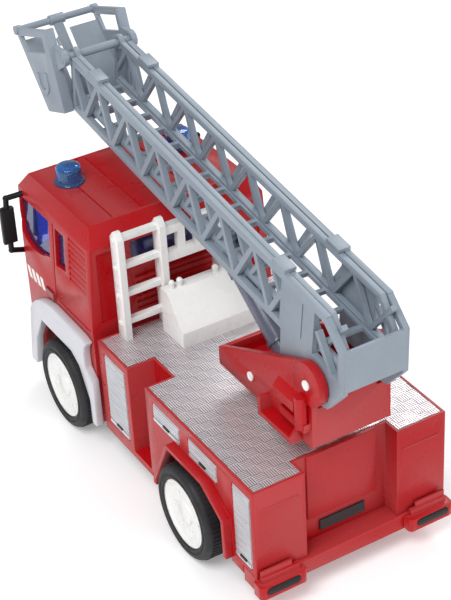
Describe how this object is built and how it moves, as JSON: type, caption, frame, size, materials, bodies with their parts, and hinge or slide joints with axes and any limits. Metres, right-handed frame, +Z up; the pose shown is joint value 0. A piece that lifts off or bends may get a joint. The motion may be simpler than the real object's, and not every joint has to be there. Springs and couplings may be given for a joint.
{
  "type": "toy fire engine with turntable ladder",
  "caption": "Friction-drive toy fire engine: cab, shuttered rear body, swivelling turntable, raising and extending lattice ladder, tilting rescue basket and rolling wheels.",
  "frame": {"origin": "on the ground plane under the centre of the bounding box", "axes": "+X forward to the cab, +Y to the vehicle's left, +Z up"},
  "size_m": [0.244, 0.1038, 0.1645],
  "materials": {
    "red_plastic": "glossy moulded ABS, self-coloured",
    "white_plastic": "glossy moulded ABS",
    "pale_grey_plastic": "semi-gloss painted moulding",
    "ladder_grey": "satin moulded nylon",
    "black_plastic": "satin black moulding",
    "interior_plastic": "matt dark grey moulding",
    "printed_silver": "silver foil sheet printed with tread and shutter patterns",
    "tinted_glazing": "blue tinted clear plastic",
    "lamp_lens": "clear moulded lens",
    "blue_lens": "transparent blue plastic",
    "beacon_core": "dark reflector core",
    "ram_plastic": "translucent smoky grey plastic",
    "ram_rod_plastic": "grey moulding",
    "tyre": "matt moulded tread",
    "gear_plastic": "natural acetal",
    "steel": "plated steel"
  },
  "bodies": {
    "truck": {"chassis": "black_plastic", "chassis_screws": "steel", "motor_case": "black_plastic", "motor_cover": "black_plastic", "cab_shell": "red_plastic", "cab_glazing": "tinted_glazing", "cab_interior": "interior_plastic", "grille": "black_plastic", "headlamps": "lamp_lens", "fender_left": "pale_grey_plastic", "fender_right": "pale_grey_plastic", "mirror_left": "black_plastic", "mirror_right": "black_plastic", "beacon_left": "blue_lens", "beacon_right": "blue_lens", "beacon_cores": "beacon_core", "rear_body": "red_plastic", "deck_plate": "printed_silver", "shutter_left_1": "printed_silver", "shutter_left_2": "printed_silver", "shutter_left_3": "printed_silver", "shutter_left_4": "printed_silver", "shutter_right_1": "printed_silver", "shutter_right_2": "printed_silver", "shutter_right_3": "printed_silver", "shutter_right_4": "printed_silver", "rear_bumper": "red_plastic", "tail_lamps": "black_plastic", "rear_plate": "black_plastic", "boom_rest": "white_plastic", "pump_unit": "white_plastic", "turntable_ring": "printed_silver"},
    "front_wheels": {"front_axle": "steel", "hub_front_left": "white_plastic", "hub_front_right": "white_plastic", "tyre_front_left": "tyre", "tyre_front_right": "tyre"},
    "rear_wheels": {"rear_axle": "steel", "hub_rear_left": "white_plastic", "hub_rear_right": "white_plastic", "tyre_rear_left": "tyre", "tyre_rear_right": "tyre", "axle_gear": "gear_plastic"},
    "idler": {"idler_gear": "gear_plastic"},
    "motor_flywheel": {"flywheel": "steel"},
    "turntable": {"turntable": "red_plastic", "turntable_retainer": "black_plastic", "turntable_screw": "steel", "ladder_pivot_pin": "white_plastic", "ram_base_pin": "white_plastic"},
    "ladder": {"ladder_outer": "ladder_grey", "ram_top_pin": "steel"},
    "ladder_extension": {"ladder_inner_left": "ladder_grey", "ladder_inner_right": "ladder_grey", "ladder_inner_rungs": "ladder_grey", "basket_hinge_bar": "ladder_grey"},
    "basket": {"basket": "ladder_grey"},
    "ram_barrel": {"ram_cylinder": "ram_plastic"},
    "ram_piston": {"ram_rod": "ram_rod_plastic"}
  },
  "joints": [
    {"name": "front_axle_spin", "type": "hinge", "parent": "truck", "child": "front_wheels", "pos_m": [0.045, 0, 0.0205], "axis": [0, 1, 0], "continuous": true},
    {"name": "rear_axle_spin", "type": "hinge", "parent": "truck", "child": "rear_wheels", "pos_m": [-0.06, 0, 0.0205], "axis": [0, 1, 0], "continuous": true},
    {"name": "idler_spin", "type": "hinge", "parent": "truck", "child": "idler", "pos_m": [-0.05177, 0, 0.0303], "axis": [0, 1, 0], "continuous": true},
    {"name": "flywheel_spin", "type": "hinge", "parent": "truck", "child": "motor_flywheel", "pos_m": [-0.03759, 0, 0.03281], "axis": [0, 1, 0], "continuous": true},
    {"name": "turntable_swivel", "type": "hinge", "parent": "truck", "child": "turntable", "pos_m": [-0.07, 0, 0.0684], "axis": [0, 0, 1], "continuous": true},
    {"name": "ladder_elevation", "type": "hinge", "parent": "turntable", "child": "ladder", "pos_m": [-0.1046, 0, 0.0972], "axis": [0, -1, 0], "range_deg": [-3.5, 42]},
    {"name": "ladder_extend", "type": "slide", "parent": "ladder", "child": "ladder_extension", "axis": [0.9903, 0, 0.1392], "range_m": [0, 0.1]},
    {"name": "basket_tilt", "type": "hinge", "parent": "ladder_extension", "child": "basket", "pos_m": [0.08042, 0, 0.15451], "axis": [0, 1, 0], "range_deg": [-40, 6]},
    {"name": "ram_tilt", "type": "hinge", "parent": "turntable", "child": "ram_barrel", "pos_m": [-0.0638, 0, 0.0766], "axis": [0, -1, 0], "range_deg": [-5, 48]},
    {"name": "ram_slide", "type": "slide", "parent": "ram_barrel", "child": "ram_piston", "axis": [0.8171, 0, 0.5765], "range_m": [-0.0032, 0.0328]}
  ],
  "couplings": [
    {"joint": "idler_spin", "follows": "rear_axle_spin", "ratio": -2.2},
    {"joint": "flywheel_spin", "follows": "rear_axle_spin", "ratio": 5.72},
    {"joint": "ram_tilt", "follows": "ladder_elevation", "ratio": 1.1},
    {"joint": "ram_slide", "follows": "ladder_elevation", "m_per_rad": 0.0441}
  ]
}
